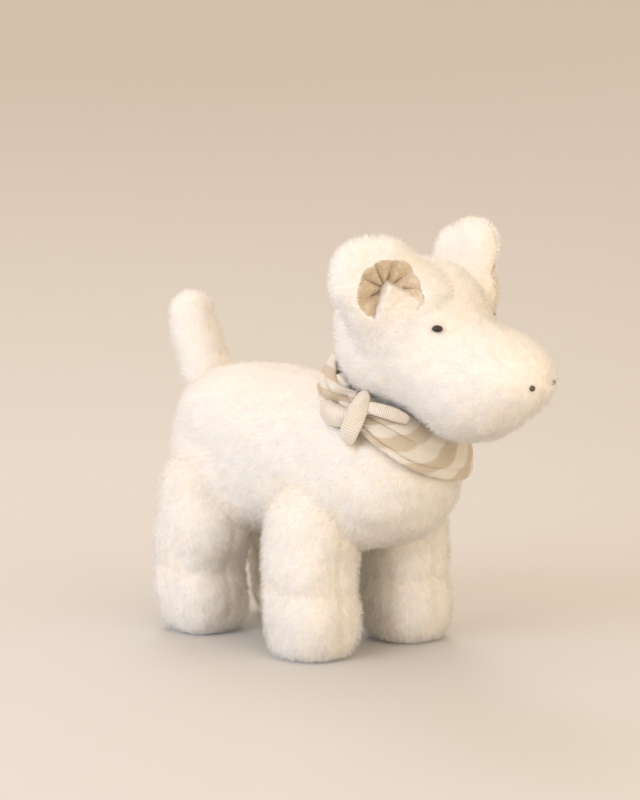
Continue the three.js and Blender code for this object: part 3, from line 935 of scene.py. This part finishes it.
def head_flow(roots):
    """The nap runs back from a point ahead of the nose."""
    return normalise(head_local(roots) - NAP_START) @ HEAD_TURN.T


def outside(*shapes, margin=-3.0):
    """Fur grows where the skin isn't inside a neighbour."""
    def test(roots):
        kept = roots[:, 2] > LOWEST_ROOT
        for shape in shapes:
            kept &= shape.depth(roots) > margin
        return kept
    return test


def crease_painted_shade(*shapes):
    """Painted shade: a warmer, darker tone in the creases between parts."""
    def shade(roots):
        closest = np.min([np.abs(shape.depth(roots)) for shape in shapes], axis=0)
        return CREASE_PAINTED_SHADE * np.clip(1 - closest / CREASE_REACH, 0, 1)
    return shade


def furry(name, skin, flow, keep, body, seed, shade=unshaded, **pile):
    """A stuffed piece: its backing and the hairs on it, riding on one body."""
    fur = make_object(name + "_fur", skin.points, skin.faces.tolist(), BACKING)
    strands = add_pile(name + "_pile", skin, flow, keep, seed, shade=shade, **pile)
    for piece in (fur, strands):
        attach(piece, body)
    return fur


# ---- trunk, legs, tail, neck
def add_trunk(covered):
    seed = SEEDS["torso"]
    legs = LEG_SHAPES.values()
    skin = ball_skin(TRUNK, FINE, trunk_seams(), seed, [*legs, TAIL])
    keep = outside(HEAD, NECK_BALL, TAIL, *legs)
    fur = furry("torso", skin, constant_flow(TRUNK_NAP), lambda p: keep(p) & ~covered(p), "torso",
                seed, crease_painted_shade(*legs))
    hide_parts("torso_skin_right", "torso_skin_left", "belly_gusset", "torso_stuffing")


def add_leg(name, seed):
    skin = ball_skin(LEG_SHAPES[name], COARSE, leg_seams(*LEGS[name]), seed, [TRUNK])
    skin.points[:, 2] = np.maximum(skin.points[:, 2], GROUND_CLEARANCE)
    keep = outside(TRUNK, margin=LEG_OVERLAP)
    fur = furry(name, skin, constant_flow(LEG_NAP), keep, name, seed,
                crease_painted_shade(TRUNK), trim=shorter_near(TRUNK, LEG_OVERLAP))
    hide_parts(*(f"{name}_{part}" for part in ("outer_skin", "inner_skin", "sole", "stuffing")))


def add_tail():
    seed = SEEDS["tail"]
    skin = ball_skin(TAIL, COARSE, [], seed, [TRUNK], TAIL_FILLET)
    keep = outside(TRUNK, margin=TAIL_OVERLAP)
    fur = furry("tail", skin, constant_flow(TAIL_TIP - TAIL_BASE), keep, "tail", seed,
                crease_painted_shade(TRUNK), trim=shorter_near(TRUNK, TAIL_OVERLAP))
    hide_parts("tail_skin", "tail_stuffing")


def add_neck(covered):
    seed = SEEDS["neck"]
    skin = ball_skin(NECK_BALL, COARSE, [], seed)
    keep = outside(HEAD, TRUNK, margin=-2)
    fur = furry("neck", skin, constant_flow(NECK_NAP), lambda p: keep(p) & ~covered(p), "neck", seed,
                length=NECK_PILE_LENGTH)
    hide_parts("neck_skin", "neck_stuffing")


# ---- head, eyes and nostrils
def add_head():
    seed = SEEDS["head"]
    skin = ball_skin(HEAD, FINE, head_seams(), seed)
    eyes = [on_head(EYE, EYE_AXIS, side)[0] for side in (-1, 1)]
    nostrils = [on_head(NOSTRIL, NOSTRIL_AXIS, side)[0] for side in (-1, 1)]

    def keep(roots):
        kept = outside(TRUNK)(roots)
        for shape in EAR_SHAPES.values():
            kept &= shape.body(roots) > EAR_SKIRT - 5
        for at in eyes:
            kept &= np.linalg.norm((roots - at) * EYE_BALD_SQUASH, axis=1) > EYE_BALD
        for at in nostrils:
            kept &= np.linalg.norm(roots - at, axis=1) > NOSTRIL_BALD
        return kept

    fur = furry("head", skin, head_flow, keep, "head", seed)
    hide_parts("head_skin_right", "head_skin_left", "muzzle_skin", "head_stuffing")
    add_eyes_and_nostrils()


def small_ball(name, centre, radii, material, lumps=0.0, seed=0):
    """A smooth or lumpy ball; lumps is their height as a share of the radius."""
    directions, faces = ball_grid(4)
    points = directions * radii * (1 + lumps * waves(directions, 0.9, seed))[:, None]
    return make_object(name, centre + points, faces.tolist(), material)


def add_eyes_and_nostrils():
    glass, knot, plastic = eye_glass(), thread(), washer_plastic()
    for suffix, side in (("right", -1), ("left", 1)):
        surface, axis = on_head(EYE, EYE_AXIS, side)
        bead = small_ball(f"eye_bead_{suffix}", surface - axis * EYE_SINK, EYE_RADII, glass)
        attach(bead, "head")
        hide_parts(f"eye_{suffix}")
        surface, axis = on_head(NOSTRIL, NOSTRIL_AXIS, side)
        place = surface - axis * NOSTRIL_SINK
        radii = (NOSTRIL_RADIUS,) * 3
        stitch = small_ball(f"nostril_knot_{suffix}", place, radii, knot, lumps=0.12, seed=SEEDS["nostrils"])
        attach(stitch, "head")
        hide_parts(f"nostril_{suffix}")
        washer = bpy.data.objects.get(f"eye_washer_{suffix}")
        for slot in washer.material_slots:
            slot.material = plastic


# ---- ears
def in_ear(points, name):
    """Points in an ear's frame: the way it opens, then outward over the face, then up."""
    side, at, angle = EARS[name]
    local = (points - head_point(at)) @ ear_axes(side, angle)
    return local * (1, -side, 1)


def from_ear(points, name):
    side, at, angle = EARS[name]
    return (points * (1, -side, 1)) @ ear_axes(side, angle).T + head_point(at)


def opening_oval(y, z):
    """Distance inside the opening's oval, which has a small notch near its top."""
    y, z = y - OPENING_CENTRE[0], z - OPENING_CENTRE[1]
    turn = np.arctan2(z, y)
    notch = NOTCH_DEPTH * np.exp(-(((turn - NOTCH_TURN) / NOTCH_WIDTH) ** 2))
    ripple = RIM_RIPPLE * np.sin(5 * turn)
    return OPENING_RADII[1] * (1 - notch - ripple - np.hypot(y / OPENING_RADII[0], z / OPENING_RADII[1]))


def mound_clearance(y, z):
    """Distance above the furry mound, steep behind its peak and sloping in front of it."""
    behind, before = np.minimum(y - MOUND_PEAK[0], 0), np.maximum(y - MOUND_PEAK[0], 0)
    drop = MOUND_SLOPES[0] * np.hypot(behind, MOUND_ROUNDING) + MOUND_SLOPES[1] * before
    return 0.9 * (z - MOUND_PEAK[1] + drop)


def opening(place):
    """How far inside the ear's opening a place is: an oval with a furry mound rising into it."""
    return np.minimum(opening_oval(place[:, 1], place[:, 2]), mound_clearance(place[:, 1], place[:, 2]))


def smooth_step(values):
    t = np.clip(values, 0, 1)
    return t * t * (3 - 2 * t)


def ear_skin(name, seed):
    """The ear's stuffed fabric, with the bowl of its opening pressed in."""
    shape = EAR_SHAPES[name]
    directions, faces = ball_grid(FINE)
    points = cast(shape, directions, -BACKING_DEPTH, shape.centre)
    local = in_ear(stuffed(points, faces, [], seed).points, name)
    carve = np.where(local[:, 0] > EAR_FRONT, smooth_step(opening(local) / BOWL_RIM), 0)
    floor = EAR_BOWL - BOWL_SLOPE * np.hypot(local[:, 1], local[:, 2])
    local[:, 0] += carve * np.minimum(floor - local[:, 0], 0)
    return Skin(from_ear(local, name), faces)


def ear_keep(name):
    """No hair grows in the bowl, on the skirt or inside the head."""
    keep_outside = outside(HEAD, margin=-5)

    def keep(roots):
        place = in_ear(roots, name)
        in_bowl = (opening(place) > BOWL_BALD) & (place[:, 0] > EAR_FRONT - 1)
        return keep_outside(roots) & ~in_bowl & (EAR_SHAPES[name].body(roots) < EAR_SKIRT - 3)
    return keep


def ear_painted_shade(name):
    """Painted shade: the mound's fur takes warmer, darker tones towards its middle."""
    def shade(roots):
        place = in_ear(roots, name) - MOUND_PAINTED_SHADE
        return MOUND_PAINTED_SHADE_DEPTH * np.exp(-((np.linalg.norm(place, axis=1) / MOUND_PAINTED_SHADE_RADIUS) ** 2))
    return shade


def ear_trim(name):
    """Hair is shorter towards the rim of the opening."""
    def trim(roots):
        place = in_ear(roots, name)
        near = np.clip((opening(place) + 3.0) / 5.0, 0, 1)
        return np.where(place[:, 0] > EAR_FRONT - 1, 1 - 0.6 * near, 1)
    return trim


def ear_flow(name):
    """The nap runs outward from the ear's opening."""
    def flow(roots):
        away = in_ear(roots, name) - NAP_CENTRE
        return from_ear(away, name) - head_point(EARS[name][1])
    return flow


def add_ear(name, seed):
    skin = ear_skin(name, seed)
    fur = make_object(name + "_plush", skin.points, skin.faces.tolist(), BACKING)
    pile = add_pile(name + "_pile", skin, ear_flow(name), ear_keep(name), seed,
                    shade=ear_painted_shade(name), trim=ear_trim(name))
    for piece in (fur, pile):
        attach(piece, name)
    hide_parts(name + "_fur")
    add_lining(name, seed)


def ear_front(name, y, z):
    """How far forward the ear's fabric reaches at places in its plane."""
    side, _, angle = EARS[name]
    starts = from_ear(np.stack((np.full(len(y), EAR_FRONT), y, z), axis=1), name)
    way = np.tile(ear_axes(side, angle)[:, 0], (len(y), 1))
    ends = cast(EAR_SHAPES[name], way, -BACKING_DEPTH, starts)
    return in_ear(ends, name)[:, 0]


def lining_columns(name, seed):
    """Each column's turn round the gather, its reach to the rim, its pleat and its rise at the rim."""
    first, last = (math.radians(angle) for angle in LINING_SPAN)
    thetas = np.linspace(first, last, LINING_COLUMNS)
    forward, y, z = LINING_GATHER
    rng = np.random.default_rng(seed)
    unit = np.linspace(0, 1, LINING_COLUMNS)
    shift = np.interp(unit, np.linspace(0, 1, 9), rng.uniform(-0.5, 0.5, 9))
    pleats = np.abs(np.sin(LINING_PLEATS * thetas + 1.6 * shift)) ** 0.7 - 0.5
    edges = 1.2 * pleats
    reach = np.linspace(0, 34, 341)
    for column, theta in enumerate(thetas):
        within = opening_oval(y + reach * math.cos(theta), z + reach * math.sin(theta)) > 0
        edges[column] += reach[within].max()
    rises = ear_front(name, y + edges * np.cos(thetas), z + edges * np.sin(thetas))
    return thetas, edges, pleats, rises - LINING_INSET - forward


def add_lining(name, seed):
    """Linen gathered to a point behind the mound, its pleats fanning out to the rim."""
    points, uvs = [], []
    for theta, edge, pleat, rise in zip(*lining_columns(name, seed)):
        spoke = np.array((0, math.cos(theta), math.sin(theta)))
        for row in range(LINING_ROWS):
            r = row / (LINING_ROWS - 1)
            point = LINING_GATHER + spoke * edge * r
            swell = math.sin(math.pi * (0.12 + 0.68 * r)) * min(1, 4 * r)
            point[0] += rise * r ** 1.3 + LINING_PLEAT_HEIGHT * pleat * swell
            points.append(point)
            uvs.append((theta * 0.016 * (0.3 + r), r * 0.024))
    points = np.array(points)
    points[:, 0] += 0.35 * waves(points, 6, seed)
    faces = grid_faces(LINING_COLUMNS, LINING_ROWS, False)
    piece = make_object(name + "_linen", from_ear(points, name), faces, LINEN)
    add_uvs(piece, uvs)
    thicken(piece, LINING_THICKNESS)
    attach(piece, name)
    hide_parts(name + "_lining")


# ---- scarf
RING_FORE = np.array((math.cos(SCARF_TILT), 0.0, -math.sin(SCARF_TILT)))
RING_LEFT = np.array((0.0, 1.0, 0.0))
RING_UP = np.array((math.sin(SCARF_TILT), 0.0, math.cos(SCARF_TILT)))

BAND_RADIUS = 48  # of the neck, for the cloth's own length
BAND_WIDTH = 30
STRIPE_SLANT = 15  # the stripes run on this far from one edge to the other
KNOT_CLOTH_RADIUS = 5

# degrees round the neck, from the front of the knot to its back: upper edge, lower edge, pleat depth
BAND = [
    (-76, 12.0, 4.0, 2.0),
    (-62, 17.0, 3.5, 5.0),
    (-47, 19.5, 3.5, 5.5),
    (-30, 19.5, 1.5, 4.5),
    (-10, 18.0, -2.5, 3.0),
    (20, 16.0, -9.0, 2.0),
    (50, 15.0, -16.0, 2.0),
    (85, 13.0, -20.0, 2.2),
    (120, 10.0, -16.0, 3.0),
    (150, 11.0, -12.0, 3.4),
    (185, 15.0, -9.0, 3.6),
    (220, 15.5, -8.0, 3.6),
    (250, 14.0, -6.0, 3.6),
    (268, 12.5, 0.0, 3.0),
    (281, 10.0, 5.0, 1.5),
]


class UnderScarf:
    """The trunk and the neck ball together, which the cloth lies on."""

    def depth(self, points):
        return smooth_min(TRUNK.depth(points), NECK_BALL.depth(points), SCARF_BED_BLEND)


def ring_directions(angles):
    a = np.radians(angles)
    return np.outer(np.cos(a), RING_FORE) + np.outer(np.sin(a), RING_LEFT)


def band_values(angles):
    """The band's upper edge, lower edge and pleat depth, rounded off where the table turns."""
    table = np.array(BAND)
    offsets = np.linspace(-9, 9, 7)
    return [np.mean([np.interp(angles + offset, table[:, 0], table[:, k]) for offset in offsets], axis=0)
            for k in (1, 2, 3)]


def band_points(angles, across):
    """The band's cloth row by row, lying on the fur in pleats that drift as they go round."""
    directions = ring_directions(angles)
    top, bottom, pleat_depth = band_values(angles)
    nape = np.clip((angles - 95) / 45, 0, 1) * np.clip((275 - angles) / 20, 0, 1)
    drift = 0.10 * np.sin(np.radians(angles * 1.7)) + 0.04 * np.sin(np.radians(angles * 4.3 + 40))
    rows = []
    for v in across:
        start = SCARF_CENTRE + np.outer(top + (bottom - top) * v, RING_UP)
        reach = np.linalg.norm(cast(UnderScarf(), directions, 0.0, start) - start, axis=1)
        reach = np.maximum(reach, NAPE_REACH * nape)
        pleat = np.abs(np.sin(math.pi * (BAND_PLEATS * v + 0.05 + drift))) ** 0.65
        edge = math.sin(math.pi * v) ** 0.35
        lift = SCARF_STAND + SCARF_BODY * edge + pleat_depth * pleat * edge
        rows.append(start + directions * (reach + lift)[:, None])
    points = np.concatenate(rows)
    creases = 0.35 * waves(points, 16, SEEDS["scarf"])
    return points + creases[:, None] * normalise(points - SCARF_CENTRE)


def add_scarf_band():
    angles = np.linspace(BAND[0][0], BAND[-1][0], 241)
    across = np.linspace(0, 1, 41)
    points = band_points(angles, across)
    arc = np.radians(angles - angles[0]) * BAND_RADIUS
    uvs = [((along + STRIPE_SLANT * v) / 1000, v * BAND_WIDTH / 1000) for v in across for along in arc]
    piece = make_object("scarf_band", points, grid_faces(len(across), len(angles), False), SCARF)
    add_uvs(piece, uvs)
    thicken(piece, CLOTH)
    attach(piece, "torso")
    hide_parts("scarf_ring", "scarf_drape")
    return piece, points


def smooth_path(path, steps):
    """A chain of points made into many, with its corners rounded."""
    path = np.asarray(path, float)
    fine = np.stack([spread(path[:, k], steps) for k in range(3)], axis=1)
    for _ in range(6):
        fine[1:-1] = (fine[:-2] + 2 * fine[1:-1] + fine[2:]) / 4
    return fine


def spread(values, steps):
    """Values at even places, read at more of them."""
    return np.interp(np.linspace(0, 1, steps), np.linspace(0, 1, len(values)), values)


def swept_cloth(name, path, widths, depths, outward, fold_turn):
    """A folded length of cloth along a path: a soft flat tube with pleats along it."""
    steps, columns = 40, 36
    fine, width, depth = smooth_path(path, steps), spread(widths, steps), spread(depths, steps)
    along = normalise(np.gradient(fine, axis=0))
    side = normalise(np.cross(along, np.asarray(outward, float)))
    lift = np.cross(side, along)
    length = np.concatenate(([0], np.cumsum(np.linalg.norm(np.diff(fine, axis=0), axis=1))))
    points, uvs = [], []
    for step, t in enumerate(np.linspace(0, 1, steps)):
        cap = math.sqrt(max(1 - (2 * t - 1) ** 16, 0.02))
        for column in range(columns):
            a = 2 * math.pi * column / columns
            fold = cap * (1 + 0.10 * math.cos(3 * a + 2 * t + fold_turn))
            reach = math.cos(a) * width[step] * fold
            rise = math.sin(a) * depth[step] * fold
            points.append(fine[step] + side[step] * reach + lift[step] * rise)
            uvs.append((length[step] / 1000, a * KNOT_CLOTH_RADIUS / 1000))
    faces = grid_faces(steps, columns, True)
    faces += [tuple(range(columns))[::-1], tuple((steps - 1) * columns + c for c in range(columns))]
    piece = make_object(name, np.array(points), faces, KNOT)
    add_uvs(piece, uvs)
    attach(piece, "torso")
    return piece


# the knot's pieces: path, half widths and half depths along it, the way they face, turn of their folds
KNOT_PIECES = {
    "scarf_knot_wrap": (
        [(95, -33, 172), (99.5, -38, 172), (102.5, -44, 167), (103.5, -48.5, 160.5),
         (102.5, -51.5, 154), (99.5, -51, 148), (95, -46, 147)],
        [4.5, 6, 6.8, 6.8, 6, 4.5], [2.8, 3.4, 3.8, 3.8, 3.4, 2.8], (0.35, -1.0, 0.1), 1,
    ),
    "scarf_knot_puff": (
        [(98, -45, 161), (90, -48, 160), (81, -47, 161), (74, -43.5, 164), (69, -38, 167)],
        [4, 6.5, 7.2, 6.5, 4], [3.5, 5, 5.5, 5, 3], (0.35, -1.0, 0.1), 2,
    ),
    "scarf_knot_tail": (
        [(101, -44, 163), (107, -38.5, 166), (113, -34, 164.5), (119, -28, 162), (124, -20, 158.5)],
        [3, 4, 4.2, 4.2, 3], [2.2, 2.8, 3, 3, 2.2], (0.6, -0.8, 0.3), 3,
    ),
}


def add_scarf():
    band, points = add_scarf_band()
    knot = [swept_cloth(name, *values) for name, values in KNOT_PIECES.items()]
    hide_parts("scarf_knot")
    return points


def cover_test(points):
    """Whether a root lies under the cloth."""
    tree = KDTree(len(points))
    for index, point in enumerate(points):
        tree.insert(point, index)
    tree.balance()

    def test(roots):
        covered = np.zeros(len(roots), bool)
        near = np.linalg.norm(roots - SCARF_CENTRE, axis=1) < 80
        for index in np.nonzero(near)[0]:
            covered[index] = tree.find(roots[index])[2] < SCARF_COVER
        return covered
    return test


# ---- build
BACKING = fur_backing()
STRANDS = fur_strands()
SCARF = scarf_cloth("scarf_cotton", SCARF_BEIGE)
KNOT = scarf_cloth("scarf_cotton_knot", SCARF_PALE)
LINEN = ear_linen()

add_camera()
add_studio()
add_backdrop()
scarf_points = add_scarf()
under_scarf = cover_test(scarf_points)
add_trunk(under_scarf)
for number, leg_name in enumerate(LEGS):
    add_leg(leg_name, SEEDS["legs"] + 5 * number)
add_tail()
add_neck(under_scarf)
add_head()
for number, ear_name in enumerate(EARS):
    add_ear(ear_name, SEEDS["ears"] + number)
